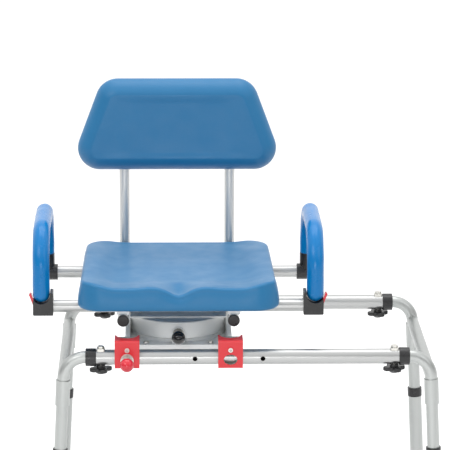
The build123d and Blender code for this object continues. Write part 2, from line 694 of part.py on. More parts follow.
def spring_coil(x, z, start, length, radius, wire, turns):
    """A coil of round wire around a plunger's stem."""
    with BuildPart() as coil:
        rise = length - 2 * wire
        with BuildLine() as centre_line:
            Helix(rise / turns, rise, radius, center=place(x, -start - wire, z), direction=(0, -1, 0))
        with BuildSketch(Plane(origin=centre_line.line @ 0, z_dir=centre_line.line % 0)):
            Circle(wire)
        sweep(path=centre_line.line, is_frenet=True)
    return coil


slide_spring = spring_coil(SLIDE_PIN_X, 0, SLIDE_TIP + SLIDE_NOSE + GAP, 6.0, 3.7, 0.5, 3)
swivel_spring = spring_coil(SEAT_X, SWIVEL_PIN_Z, SWIVEL_TIP + SWIVEL_NOSE + GAP, 3.2, 3.0, 0.35, 3)
with BuildPart() as lock_springs:
    add(slide_spring.part)
    add(swivel_spring.part)
finish(lock_springs, "lock_springs")


# =================================================================== seat frame
with BuildPart() as backrest_frame:
    for side in SIDES.values():
        x = SEAT_X + side * FRAME_X
        with BuildLine() as run:
            FilletPolyline(
                place(x, FRAME_FRONT, FRAME_Z),
                place(x, POST_Y, FRAME_Z),
                place(x, POST_Y, POST_TOP),
                radius=POST_BEND,
            )
        for radius, mode in ((FRAME_OD / 2, Mode.ADD), (FRAME_OD / 2 - TUBE_WALL, Mode.SUBTRACT)):
            with BuildSketch(Plane(origin=run.line @ 0, z_dir=run.line % 0)):
                Circle(radius)
            sweep(path=run.line, mode=mode)
        for row in ROWS.values():
            clamp_hole = facing(x, row * ARM_TUBE_Y, FRAME_Z - 20, (0, 0, 1))
            rod(clamp_hole, CLAMP_R + 2 * GAP, 40, Mode.SUBTRACT)
            frame_hole = facing(x - 20, row * FRAME_BOLT_Y, FRAME_Z, (1, 0, 0))
            rod(frame_hole, FRAME_BOLT_R + 2 * GAP, 40, Mode.SUBTRACT)
        for z in BACK_SCREW_Z:
            rod(facing(x, POST_Y - 20, z, (0, 1, 0)), SCREW_R + GAP, 40, Mode.SUBTRACT)
finish(backrest_frame, "backrest_frame")

with BuildPart() as arm_tubes:
    for row, half in ((ROWS["front"], FRONT_TUBE_HALF), (ROWS["rear"], REAR_TUBE_HALF)):
        end = facing(SEAT_X - half, row * ARM_TUBE_Y, ARM_TUBE_Z, (1, 0, 0))
        rod(end, TUBE_OD / 2, 2 * half)
        rod(end, TUBE_OD / 2 - TUBE_WALL, 2 * half, Mode.SUBTRACT)
        for side in SIDES.values():
            clamp_hole = facing(SEAT_X + side * FRAME_X, row * ARM_TUBE_Y, FRAME_Z, (0, 0, 1))
            rod(clamp_hole, CLAMP_R + 2 * GAP, 60, Mode.SUBTRACT)
finish(arm_tubes, "arm_tubes")

FRONT_CAP_R = 12.5
SIDE_CAP_R = 14.5
# Domed plugs close the front of the seat frame's tubes and the ends of the rear arm tube.
with BuildPart() as tube_end_caps:
    for side in SIDES.values():
        front_end = facing(SEAT_X + side * FRAME_X, FRAME_FRONT - GAP, FRAME_Z, (0, -1, 0))
        rod(front_end, FRONT_CAP_R, 5.0)
        rod(front_end.offset(-15), FRAME_OD / 2 - TUBE_WALL - GAP, 16)
        side_end = facing(SEAT_X + side * (REAR_TUBE_HALF + GAP), ARM_TUBE_Y, ARM_TUBE_Z, (side, 0, 0))
        rod(side_end, SIDE_CAP_R, 4.0)
        rod(side_end.offset(-15), TUBE_OD / 2 - TUBE_WALL - GAP, 16)
    rims = tube_end_caps.edges().filter_by(GeomType.CIRCLE)
    fillet(rims.group_by(Axis.Y)[0], radius=1.8)
    fillet(tube_end_caps.edges().group_by(Axis.X)[0], radius=1.8)
    fillet(tube_end_caps.edges().group_by(Axis.X)[-1], radius=1.8)
finish(tube_end_caps, "tube_end_caps")

# Saddle blocks seat the arm tubes on the frame tubes.
SEAT_SADDLE_WIDTH = 27.0
SADDLE_BOTTOM = FRAME_Z + FRAME_OD / 2 + GAP
with BuildPart() as seat_saddles:
    for side in SIDES.values():
        for row in ROWS.values():
            x = SEAT_X + side * FRAME_X
            block(x, row * ARM_TUBE_Y, SADDLE_BOTTOM, (SEAT_SADDLE_WIDTH, 36, 98 - SADDLE_BOTTOM))
            along = facing(x - 30, row * ARM_TUBE_Y, ARM_TUBE_Z, (1, 0, 0))
            rod(along, TUBE_OD / 2 + RUN, 60, Mode.SUBTRACT)
            rod(facing(x, row * ARM_TUBE_Y, FRAME_Z, (0, 0, 1)), CLAMP_R + 2 * GAP, 60, Mode.SUBTRACT)
    fillet(seat_saddles.edges().filter_by(Axis.Z).filter_by(lambda e: e.length > 10), radius=3.0)
finish(seat_saddles, "seat_saddles")

BOARD_BOTTOM = ARM_TUBE_Z + TUBE_OD / 2 + 0.5
BOARD_THICK = 10.0
BOARD_HALF = 150.0
BOARD_LENGTH = 330.0
with BuildPart() as seat_board:
    block(SEAT_X, 0, BOARD_BOTTOM, (2 * BOARD_HALF, BOARD_LENGTH, BOARD_THICK))
    fillet(seat_board.edges().filter_by(Axis.Z), radius=30)
    for side in SIDES.values():
        for row in ROWS.values():
            clamp_hole = facing(SEAT_X + side * FRAME_X, row * ARM_TUBE_Y, BOARD_BOTTOM - 1, (0, 0, 1))
            rod(clamp_hole, CLAMP_R + GAP, 8.5, Mode.SUBTRACT)
finish(seat_board, "seat_board")


def back_outline(inset=0.0):
    """Corners of the backrest seen from the front, wider at the bottom, as height and half width."""
    slope = (BACK_BOTTOM_HALF - BACK_TOP_HALF) / (BACK_TOP - BACK_BOTTOM)
    low, high = BACK_BOTTOM + inset, BACK_TOP - inset
    low_half = BACK_BOTTOM_HALF - inset * (slope + sqrt(1 + slope**2))
    high_half = low_half - slope * (high - low)
    corners = [(-low_half, low), (low_half, low), (high_half, high), (-high_half, high)]
    return [(BENCH_X + SEAT_X + across, RAIL_Z + up) for across, up in corners]


def back_panel(front, rear, inset, low_r, high_r):
    """A flat panel in the backrest's outline between two distances behind the bench's middle."""
    with BuildPart() as panel:
        with BuildSketch(Plane.XZ.offset(-BENCH_Y - rear)):
            with BuildLine():
                Polyline(*back_outline(inset), close=True)
            make_face()
            fillet(vertices().group_by(Axis.Y)[0], radius=low_r)
            fillet(vertices().group_by(Axis.Y)[-1], radius=high_r)
        extrude(amount=rear - front)
    return panel


BACK_BOARD_INSET = 30.0
BACK_BOARD_CORNER = 25.0
board = back_panel(
    BACK_REAR + GAP, POST_Y - FRAME_OD / 2 - GAP, BACK_BOARD_INSET, BACK_BOARD_CORNER, BACK_BOARD_CORNER)
with BuildPart() as backrest_board:
    add(board.part)
    for side in SIDES.values():
        for z in BACK_SCREW_Z:
            rod(facing(SEAT_X + side * FRAME_X, BACK_FRONT, z, (0, 1, 0)), SCREW_R + GAP, 80, Mode.SUBTRACT)
finish(backrest_board, "backrest_board")

# All fasteners of the seat: clamp screws, frame bolts, plate screws and backrest screws.
with BuildPart() as seat_fasteners:
    for side in SIDES.values():
        x = SEAT_X + side * FRAME_X
        for row in ROWS.values():
            head = facing(x, row * ARM_TUBE_Y, FRAME_Z - FRAME_OD / 2 - 3.6, (0, 0, 1))
            rod(head, 5.5, 3.5)
            rod(head, CLAMP_R, BOARD_BOTTOM + 7.0 - FRAME_Z + FRAME_OD / 2 + 3.6)
            outer = facing(SEAT_X + side * (FRAME_X + FRAME_OD / 2 + 4.6), row * FRAME_BOLT_Y, FRAME_Z,
                           (-side, 0, 0))
            with BuildSketch(outer):
                RegularPolygon(7.0, 6)
            extrude(amount=4.5)
            rod(outer, FRAME_BOLT_R, FRAME_OD + 12.0)
            plate_head = facing(SEAT_X + side * PLATE_SCREW[0], row * PLATE_SCREW[1],
                                DRUM_TOP + SHEET + 2 * GAP, (0, 0, 1))
            rod(plate_head, 4.5, 2.5)
            rod(plate_head.offset(-8), SCREW_R, 9)
        for z in BACK_SCREW_Z:
            back_head = facing(x, POST_Y + FRAME_OD / 2 + 2.6, z, (0, -1, 0))
            rod(back_head, SCREW_HEAD_R, 2.5)
            rod(back_head, SCREW_R, FRAME_OD + 7.0)
finish(seat_fasteners, "seat_fasteners")


# =================================================================== cushions
# The seat foam takes the board into its underside and straddles the arm tubes.
with BuildPart() as seat_cushion:
    with BuildSketch(Plane.XY.offset(RAIL_Z + SEAT_BOTTOM)):
        with BuildLine():
            Polyline(
                place(SEAT_X - SEAT_FRONT_HALF, SEAT_FRONT, 0)[:2],
                place(SEAT_X + SEAT_FRONT_HALF, SEAT_FRONT, 0)[:2],
                place(SEAT_X + SEAT_BACK_HALF, SEAT_BACK, 0)[:2],
                place(SEAT_X - SEAT_BACK_HALF, SEAT_BACK, 0)[:2],
                close=True,
            )
        make_face()
        fillet(vertices().group_by(Axis.Y)[-1], radius=SEAT_BACK_CORNER)
        fillet(vertices().group_by(Axis.Y)[0], radius=SEAT_FRONT_CORNER)
    extrude(amount=SEAT_TOP - SEAT_BOTTOM)
    fillet(seat_cushion.edges().group_by(Axis.Z)[-1], radius=SEAT_SHOULDER)
    recess = (2 * BOARD_HALF + 1, BOARD_LENGTH + 1, BOARD_BOTTOM + BOARD_THICK + 0.3 - SEAT_BOTTOM)
    block(SEAT_X, 0, SEAT_BOTTOM, recess, Mode.SUBTRACT)
    for row in ROWS.values():
        groove = facing(SEAT_X - SEAT_FRONT_HALF, row * ARM_TUBE_Y, ARM_TUBE_Z, (1, 0, 0))
        rod(groove, TUBE_OD / 2 + GAP, 2 * SEAT_FRONT_HALF, Mode.SUBTRACT)
finish(seat_cushion, "seat_cushion")

backrest_pad = back_panel(BACK_FRONT, BACK_REAR, 0.0, BACK_LOW_CORNER, BACK_HIGH_CORNER)
with backrest_pad:
    fillet(backrest_pad.edges().group_by(Axis.Y)[0], radius=BACK_SHOULDER)
finish(backrest_pad, "backrest_pad")


# =================================================================== arms
def arm_path(side, end_z):
    """Corners of an arm's tube: up at the front, back along the top and down at the rear."""
    x = SEAT_X + side * ARM_X
    return [
        place(x, -ARM_TUBE_Y, ARM_END_Z),
        place(x, -ARM_TUBE_Y, ARM_TOP),
        place(x, ARM_TUBE_Y, ARM_TOP),
        place(x, ARM_TUBE_Y, end_z),
    ]


def arm_pad(side):
    """The foam sleeve of an arm, with a rounded front end."""
    with BuildPart() as pad:
        with BuildLine() as loop:
            FilletPolyline(*arm_path(side, ARM_SOCKET_TOP + GAP), radius=ARM_BEND)
        with BuildSketch(Plane(origin=loop.line @ 0, z_dir=loop.line % 0)):
            Circle(PAD_R)
        sweep(path=loop.line)
        with Locations(loop.line @ 0):
            Sphere(PAD_R)
        with BuildSketch(Plane(origin=loop.line @ 0, z_dir=loop.line % 0)):
            Circle(CORE_R + GAP)
        sweep(path=loop.line, mode=Mode.SUBTRACT)
    return pad


SOCKET_INNER = 260.5
SLEEVE_R = 17.3


def arm_frame(side):
    """The arm's core tube with the black hinge bracket that turns on the rear arm tube."""
    with BuildPart() as frame:
        with BuildLine() as loop:
            FilletPolyline(*arm_path(side, ARM_TUBE_Z + 5), radius=ARM_BEND)
        for radius, mode in ((CORE_R, Mode.ADD), (CORE_R - TUBE_WALL, Mode.SUBTRACT)):
            with BuildSketch(Plane(origin=loop.line @ 0, z_dir=loop.line % 0)):
                Circle(radius)
            sweep(path=loop.line, mode=mode)
        x = SEAT_X + side * ARM_X
        rod(facing(x, ARM_TUBE_Y, ARM_TUBE_Z, (0, 0, 1)), PAD_R, ARM_SOCKET_TOP - ARM_TUBE_Z)
        inner = facing(SEAT_X + side * SOCKET_INNER, ARM_TUBE_Y, ARM_TUBE_Z, (side, 0, 0))
        rod(inner, SLEEVE_R, REAR_TUBE_HALF - SOCKET_INNER - GAP)
        rod(inner.offset(-1), TUBE_OD / 2 + RUN, 60, Mode.SUBTRACT)
    return frame


# Front cradles: each takes the end of the front tube, and the arm's rounded end drops into it.
CRADLE_INNER = 260.0
CRADLE_OUTER = 302.0
CRADLE_DEPTH = 36.0
CRADLE_BOTTOM = 74.0
CRADLE_LIP = 106.0
CRADLE_WALL_TOP = 122.5
LEVER_PIVOT_X = 297.5
LEVER_PIVOT_Z = 87.0
LEVER_TIP_X = 307.5
LEVER_TIP_Z = 115.0
LEVER_WIDTH = 12.0
LEVER_THICK = 5.0
TRUNNION_R = 2.5
TRUNNION_LENGTH = 24.0
with BuildPart() as arm_cradles:
    for side in SIDES.values():
        front = BENCH_Y - ARM_TUBE_Y - CRADLE_DEPTH / 2
        x = BENCH_X + SEAT_X
        profile = [
            (CRADLE_INNER, CRADLE_BOTTOM),
            (CRADLE_OUTER, CRADLE_BOTTOM),
            (CRADLE_OUTER, CRADLE_LIP),
            (ARM_X, CRADLE_LIP),
            (ARM_X, CRADLE_WALL_TOP),
            (CRADLE_INNER, CRADLE_WALL_TOP),
        ]
        with BuildSketch(Plane.XZ.offset(-front - CRADLE_DEPTH)):
            with BuildLine():
                Polyline(*[(x + side * across, RAIL_Z + z) for across, z in profile], close=True)
            make_face()
            fillet(vertices().group_by(Axis.Z)[0], radius=2.5)
        extrude(amount=CRADLE_DEPTH)
        groove = facing(SEAT_X + side * ARM_X, -ARM_TUBE_Y - 30, ARM_END_Z, (0, 1, 0))
        rod(groove, PAD_R + 0.6, 60, Mode.SUBTRACT)
        above_groove = (2 * PAD_R + 1.2, 60, 30)
        block(SEAT_X + side * ARM_X, -ARM_TUBE_Y, ARM_END_Z, above_groove, Mode.SUBTRACT)
        slot = (20, LEVER_WIDTH + 1, 60)
        block(SEAT_X + side * (LEVER_PIVOT_X + 5), -ARM_TUBE_Y, LEVER_PIVOT_Z - 6, slot, Mode.SUBTRACT)
        socket = facing(SEAT_X + side * (CRADLE_INNER - 1), -ARM_TUBE_Y, ARM_TUBE_Z, (side, 0, 0))
        rod(socket, TUBE_OD / 2 + RUN, FRONT_TUBE_HALF - CRADLE_INNER + 1.2, Mode.SUBTRACT)
        pivot_start = -ARM_TUBE_Y - TRUNNION_LENGTH / 2 - GAP
        pivot = facing(SEAT_X + side * LEVER_PIVOT_X, pivot_start, LEVER_PIVOT_Z, (0, 1, 0))
        rod(pivot, TRUNNION_R + RUN, TRUNNION_LENGTH + 2 * GAP, Mode.SUBTRACT)
finish(arm_cradles, "arm_cradles")


def release_lever(side):
    """A red thumb lever that turns in the cradle on its own trunnions."""
    pivot = (BENCH_X + SEAT_X + side * LEVER_PIVOT_X, RAIL_Z + LEVER_PIVOT_Z)
    tip = (BENCH_X + SEAT_X + side * LEVER_TIP_X, RAIL_Z + LEVER_TIP_Z)
    middle = BENCH_Y - ARM_TUBE_Y
    with BuildPart() as lever:
        with BuildSketch(Plane.XZ.offset(-middle)):
            with BuildLine():
                Line(pivot, tip)
            trace(line_width=LEVER_THICK)
            with Locations(pivot):
                Circle(4.4)
            with Locations(tip):
                Circle(3.0)
        extrude(amount=LEVER_WIDTH / 2, both=True)
        trunnion_start = -ARM_TUBE_Y - TRUNNION_LENGTH / 2
        trunnion = facing(SEAT_X + side * LEVER_PIVOT_X, trunnion_start, LEVER_PIVOT_Z, (0, 1, 0))
        rod(trunnion, TRUNNION_R, TRUNNION_LENGTH)
    return lever


for side_name, side in SIDES.items():
    finish(arm_pad(side), f"arm_pad_{side_name}")
    finish(arm_frame(side), f"arm_frame_{side_name}")
    finish(release_lever(side), f"release_lever_{side_name}")
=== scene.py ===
import json
import math

import bpy
from mathutils import Euler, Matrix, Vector


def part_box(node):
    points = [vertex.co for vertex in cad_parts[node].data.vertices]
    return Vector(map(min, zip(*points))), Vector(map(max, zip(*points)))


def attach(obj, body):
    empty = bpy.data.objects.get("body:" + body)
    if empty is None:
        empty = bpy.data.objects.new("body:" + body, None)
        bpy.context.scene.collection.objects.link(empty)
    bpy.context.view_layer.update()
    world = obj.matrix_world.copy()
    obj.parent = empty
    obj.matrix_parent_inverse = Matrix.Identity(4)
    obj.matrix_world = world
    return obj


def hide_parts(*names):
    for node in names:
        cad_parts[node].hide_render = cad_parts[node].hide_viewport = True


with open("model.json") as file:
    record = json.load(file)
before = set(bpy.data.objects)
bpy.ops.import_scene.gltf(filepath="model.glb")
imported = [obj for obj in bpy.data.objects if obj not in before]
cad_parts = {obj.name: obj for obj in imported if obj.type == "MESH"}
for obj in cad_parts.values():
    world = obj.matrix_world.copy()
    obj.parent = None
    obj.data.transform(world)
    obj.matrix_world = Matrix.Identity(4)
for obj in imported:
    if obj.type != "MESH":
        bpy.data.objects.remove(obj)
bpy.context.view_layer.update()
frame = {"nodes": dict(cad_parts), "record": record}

# Everything is in metres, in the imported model's frame: X along the rails, the seat faces -Y and the
# floor is at Z = 0.
MM = 0.001
RAIL_HEIGHT = 0.430
SIDES = ("left", "right")


# =================================================================== shapes
def smooth(low, high, value):
    """0 below low, 1 above high, and an S-curve between them."""
    t = min(1.0, max(0.0, (value - low) / (high - low)))
    return t * t * (3 - 2 * t)


def bell(value, width):
    """A bump of height 1 at 0 that fades over about a width to each side."""
    return math.exp(-((value / width) ** 2))


def inset_corner(corners, i, inset):
    """Corner i of a convex polygon whose edges have all moved inwards by inset."""
    before, here, after = (Vector(corners[j % len(corners)]) for j in (i - 1, i, i + 1))
    edge_in = (here - before).normalized()
    edge_out = (after - here).normalized()
    normal_in = Vector((-edge_in.y, edge_in.x))
    normal_out = Vector((-edge_out.y, edge_out.x))
    return here + (normal_in + normal_out) * (inset / (1 + normal_in.dot(normal_out)))


def rounded(corners, radii, inset=0.0, arc_steps=14, edge_steps=34, least=0.012):
    """Points round a convex polygon with filleted corners, listed anticlockwise.

    Every inset gives the same number of points in the same order, so that loops can be skinned."""
    count = len(corners)
    arcs = []
    for i in range(count):
        corner = inset_corner(corners, i, inset)
        before = inset_corner(corners, (i - 1) % count, inset)
        after = inset_corner(corners, (i + 1) % count, inset)
        edge_in = (corner - before).normalized()
        edge_out = (after - corner).normalized()
        start = math.atan2(-edge_in.x, edge_in.y)
        turn = math.atan2(edge_in.cross(edge_out), edge_in.dot(edge_out))
        radius = max(radii[i] - inset, least)
        bisector = (edge_out - edge_in).normalized()
        centre = corner + bisector * (radius / math.cos(turn / 2))
        steps = [start + turn * k / arc_steps for k in range(arc_steps + 1)]
        arcs.append([centre + Vector((math.cos(a), math.sin(a))) * radius for a in steps])
    points = []
    for i in range(count):
        points += arcs[i]
        last, first = arcs[i][-1], arcs[(i + 1) % count][0]
        points += [last.lerp(first, k / edge_steps) for k in range(1, edge_steps)]
    return points


def skin(name, rings, start_centre, end_centre):
    """A closed mesh through rings of equal length, with a fan to a centre point at each end."""
    size = len(rings[0])
    vertices = [tuple(p) for ring in rings for p in ring] + [tuple(start_centre), tuple(end_centre)]
    faces = []
    for r in range(len(rings) - 1):
        for k in range(size):
            n = (k + 1) % size
            faces.append((r * size + k, r * size + n, (r + 1) * size + n, (r + 1) * size + k))
    top = (len(rings) - 1) * size
    for k in range(size):
        n = (k + 1) % size
        faces.append((len(vertices) - 2, n, k))
        faces.append((len(vertices) - 1, top + k, top + n))
    mesh = bpy.data.meshes.new(name)
    mesh.from_pydata(vertices, [], faces)
    mesh.validate()
    mesh.shade_smooth()
    piece = bpy.data.objects.new(name, mesh)
    bpy.context.scene.collection.objects.link(piece)
    return piece


# =================================================================== seat cushion
def seat_piece():
    """The moulded seat: thigh hollows, a V notch at the front, raised sides and a soft rolled shoulder."""
    low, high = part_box("seat_cushion")
    middle_x = (low.x + high.x) / 2
    front_half = (high.x - low.x) / 2
    back_half = front_half - 0.006
    floor_z, front, back = low.z, low.y, high.y
    corners = [(-front_half, front), (front_half, front), (back_half, back), (-back_half, back)]
    radii = (0.050, 0.050, 0.060, 0.060)
    corner_reach = 0.115

    def top(x, y):
        """Height of the top surface at a place, from the cushion's underside."""
        across = abs(x)
        half = front_half + (back_half - front_half) * (y - front) / (back - front)
        to_side, to_back = half - across, back - y
        behind_front = y - front
        near_front = 1 - smooth(10, 120, behind_front / MM)
        dish = 37.5 + 10.0 * near_front + 5.5 * (1 - smooth(4, 150, to_back / MM))
        side_rim = 1 - smooth(22, 80, to_side / MM)
        corner = math.hypot(
            max(0.0, 1 - to_side / corner_reach), max(0.0, 1 - to_back / corner_reach))
        rim = 1 - (1 - side_rim) * (1 - 0.8 * smooth(0.80, 1.18, corner))
        rim_height = 13.0 - 2.0 * (1 - smooth(20, 120, behind_front / MM))
        rim_height -= 7.0 * (1 - smooth(0, 120, to_back / MM))
        ridges = 2.8 * bell(across - 0.058, 0.024) * (1 - smooth(25, 190, behind_front / MM))
        notch = -15.0 * bell(x, 0.024) * (1 - smooth(15, 105, behind_front / MM))
        hollows = -2.5 * bell(across - 0.090, 0.055) * bell(y - front - 0.170, 0.100)
        return (dish + rim * rim_height + ridges + notch + hollows) * MM

    def ring(inset, height_of):
        return [Vector((middle_x + p.x, p.y, height_of(p))) for p in rounded(corners, radii, inset)]

    lean, shoulder, sole_edge = 0.006, 0.0075, 0.007
    rings = []
    board_low, board_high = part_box("seat_board")
    # underside: from the board's edge outwards, then round the bottom edge
    inner = (front_half - (board_high.x - board_low.x) / 2) - 0.004
    for inset in (inner, 0.035, 0.018, sole_edge):
        rings.append(ring(inset, lambda p: floor_z))
    for step in range(1, 6):
        a = math.radians(90 * step / 5)
        rings.append(ring(
            sole_edge * (1 - math.sin(a)),
            lambda p, a=a: floor_z + sole_edge * (1 - math.cos(a))))
    # wall: leans in slightly up to just below the shoulder, which then rolls over
    for step in range(1, 9):
        share = step / 9
        rings.append(ring(
            lean * share ** 2,
            lambda p, s=share: floor_z + sole_edge + (top(p.x, p.y) - shoulder - sole_edge) * s))
    for step in range(9):
        a = math.radians(90 * step / 8)
        rings.append(ring(
            lean + shoulder * (1 - math.cos(a)),
            lambda p, a=a: floor_z + top(p.x, p.y) - shoulder * (1 - math.sin(a))))
    # top: shrinks towards the middle
    edge = rings[-1]
    centre = Vector((middle_x, (front + back) / 2, 0))
    steps = 44
    for step in range(1, steps):
        share = 1 - step / steps
        loop = []
        for p in edge:
            x = centre.x + (p.x - centre.x) * share
            y = centre.y + (p.y - centre.y) * share
            loop.append(Vector((x, y, floor_z + top(x - middle_x, y))))
        rings.append(loop)
    crown = Vector((centre.x, centre.y, floor_z + top(0, centre.y)))
    sole = Vector((centre.x, centre.y, floor_z))
    return skin("seat_cushion_foam", rings, sole, crown)


# =================================================================== backrest
def backrest_piece():
    """The moulded backrest: a shallow dished face inside a broad soft border."""
    low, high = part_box("backrest_pad")
    middle_x = (low.x + high.x) / 2
    bottom, top = low.z, high.z
    height = top - bottom
    bottom_half, top_half = 0.237, 0.162
    corners = [(-bottom_half, bottom), (bottom_half, bottom), (top_half, top), (-top_half, top)]
    radii = (0.048, 0.048, 0.049, 0.049)
    rear, face = high.y, low.y
    border, back_edge = 0.031, 0.006
    side_land = 0.006

    def dish(x, z):
        """How far the face lies behind its highest line."""
        return 3.5 * MM * bell(x, 0.150) * bell(z - (bottom + height / 2), 0.085)

    def ring(inset, depth_of):
        return [Vector((middle_x + p.x, depth_of(p), p.y)) for p in rounded(corners, radii, inset)]

    rings = [ring(inset, lambda p: rear) for inset in (0.06, 0.03, 0.015, back_edge)]
    for step in range(1, 6):
        a = math.radians(90 * step / 5)
        rings.append(ring(
            back_edge * (1 - math.sin(a)), lambda p, a=a: rear - back_edge * (1 - math.cos(a))))
    slope_start = rear - back_edge - side_land
    depth = slope_start - face
    power = 2 / 1.55
    for step in range(0, 25):
        a = math.radians(90 * step / 24)
        inset = border * (1 - math.cos(a) ** power)
        rise = depth * math.sin(a) ** power
        rings.append(ring(inset, lambda p, r=rise: slope_start - r))
    edge = rings[-1]
    middle_z = bottom + 0.45 * height
    steps = 30
    for step in range(1, steps):
        share = 1 - step / steps
        loop = []
        for p in edge:
            x = middle_x + (p.x - middle_x) * share
            z = middle_z + (p.z - middle_z) * share
            loop.append(Vector((x, face + dish(x - middle_x, z) * smooth(0, 0.25, 1 - share), z)))
        rings.append(loop)
    centre = Vector((middle_x, face + dish(0, middle_z), middle_z))
    back = Vector((middle_x, rear, middle_z))
    return skin("backrest_foam", rings, back, centre)


# =================================================================== arm sleeves
def arm_sleeve(side):
    """The foam sleeve of one arm, swept along the arm's tube with a rounded front end."""
    low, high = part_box(f"arm_pad_{side}")
    radius = (high.x - low.x) / 2
    x = (low.x + high.x) / 2
    front, rear = low.y + radius, high.y - radius
    top = high.z - radius
    start_z = low.z + radius
    end_z = RAIL_HEIGHT + 0.1331
    bend = 0.075
    skin_gap = 0.3 * MM
    lip = 2.0 * MM
    path = []
    straight, turn = 12, 26

    def add_line(a, b, direction, count):
        for k in range(count):
            path.append((Vector(a).lerp(Vector(b), k / count), Vector(direction)))

    def add_bend(centre, start_angle, count):
        for k in range(count):
            a = math.radians(start_angle - 90 * k / count)
            point = Vector((x, centre[0] + bend * math.cos(a), centre[1] + bend * math.sin(a)))
            path.append((point, Vector((0, math.sin(a), -math.cos(a)))))

    add_line((x, front, start_z), (x, front, top - bend), (0, 0, 1), straight)
    add_bend((front + bend, top - bend), 180, turn)
    add_line((x, front + bend, top), (x, rear - bend, top), (0, 1, 0), 30)
    add_bend((rear - bend, top - bend), 90, turn)
    add_line((x, rear, top - bend), (x, rear, end_z), (0, 0, -1), straight)
    path.append((Vector((x, rear, end_z)), Vector((0, 0, -1))))

    around = 48
    across = Vector((1, 0, 0))
    rings = []

    def ring(point, direction, size):
        up = across.cross(direction)
        loop = []
        for k in range(around):
            a = 2 * math.pi * k / around
            loop.append(point + (across * math.cos(a) + up * math.sin(a)) * size)
        return loop

    for step in range(1, 9):
        a = math.radians(90 * step / 9)
        start = path[0][0] - Vector((0, 0, radius * math.cos(a)))
        rings.append(ring(start, path[0][1], radius * math.sin(a)))
    for i, (point, direction) in enumerate(path):
        swell = 0.25 * MM * math.sin(i * 0.37) * math.sin(i * 0.11 + 1)
        rings.append(ring(point, direction, radius - skin_gap + swell))
    end, direction = path[-1]
    for step in range(1, 5):
        a = math.radians(90 * step / 4)
        rings.append(ring(end, direction, radius - skin_gap - lip * (1 - math.cos(a))))
    tip = path[0][0] - Vector((0, 0, radius))
    return skin(f"arm_sleeve_{side}", rings, tip, end)


# =================================================================== materials
class Finish:
    """One node material round a Principled shader, in the frame's own coordinates."""

    def __init__(self, name, colour, roughness, **inputs):
        self.material = bpy.data.materials.new(name)
        self.material.use_nodes = True
        self.tree = self.material.node_tree
        self.shader = self.tree.nodes["Principled BSDF"]
        self.shader.inputs["Base Color"].default_value = (*colour, 1)
        self.shader.inputs["Roughness"].default_value = roughness
        for socket, value in inputs.items():
            self.shader.inputs[socket.replace("_", " ")].default_value = value
        self.colour = self.rgb(colour)
        self.place = self.add("ShaderNodeTexCoord").outputs["Object"]
        self.height = None

    def add(self, kind, links=None, **settings):
        node = self.tree.nodes.new(kind)
        for name, value in settings.items():
            setattr(node, name, value)
        for socket, value in (links or {}).items():
            self.feed(node.inputs[socket], value)
        return node

    def feed(self, socket, value):
        if isinstance(value, bpy.types.NodeSocket):
            self.tree.links.new(value, socket)
        else:
            socket.default_value = value

    def rgb(self, colour):
        node = self.add("ShaderNodeRGB")
        node.outputs[0].default_value = (*colour, 1)
        return node.outputs[0]

    def noise(self, scale, detail=3.0, stretch=(1, 1, 1)):
        mapping = self.add("ShaderNodeMapping", {"Vector": self.place, "Scale": stretch})
        links = {"Vector": mapping.outputs[0], "Scale": scale, "Detail": detail}
        return self.add("ShaderNodeTexNoise", links).outputs[0]

    def cells(self, scale):
        return self.add("ShaderNodeTexVoronoi", {"Vector": self.place, "Scale": scale}).outputs["Distance"]

    def remap(self, value, low, high, to_low, to_high):
        links = {"Value": value, "From Min": low, "From Max": high, "To Min": to_low, "To Max": to_high}
        return self.add("ShaderNodeMapRange", links).outputs[0]

    def sharp_edges(self, width=0.0007):
        """1 along edges within a width in metres; it also rounds the shading over them."""
        self.height = self.add("ShaderNodeBevel", {"Radius": width}, samples=4).outputs[0]
        flat = self.add("ShaderNodeNewGeometry").outputs["Normal"]
        dot = self.add("ShaderNodeVectorMath", operation="DOT_PRODUCT")
        self.feed(dot.inputs[0], self.height)
        self.feed(dot.inputs[1], flat)
        return self.remap(dot.outputs["Value"], 0.80, 0.97, 1.0, 0.0)

    def painted_cavity_shade(self, reach=0.035):
        """Mask for painted shade: 1 inside bores and tubes, 0 where a surface does not face itself."""
        open_air = self.add("ShaderNodeAmbientOcclusion", {"Distance": reach}, only_local=True, samples=8)
        return self.remap(open_air.outputs["AO"], 0.10, 0.45, 1.0, 0.0)

    def tint(self, amount, colour):
        """Mix the colour so far with another, by an amount from 0 to 1."""
        mix = self.add("ShaderNodeMix", data_type="RGBA")
        self.feed(mix.inputs[0], amount)
        self.feed(mix.inputs[6], self.colour)
        self.feed(mix.inputs[7], (*colour, 1))
        self.colour = mix.outputs[2]
        return self

    def rough(self, value):
        self.feed(self.shader.inputs["Roughness"], value)
        return self

    def relief(self, height, depth, strength=1.0):
        """Bump by a height map whose full range stands for a depth in metres."""
        links = {"Height": height, "Distance": depth, "Strength": strength}
        if self.height is not None:
            links["Normal"] = self.height
        self.height = self.add("ShaderNodeBump", links).outputs[0]
        return self

    def done(self):
        self.feed(self.shader.inputs["Base Color"], self.colour)
        if self.height is not None:
            self.feed(self.shader.inputs["Normal"], self.height)
        return self.material


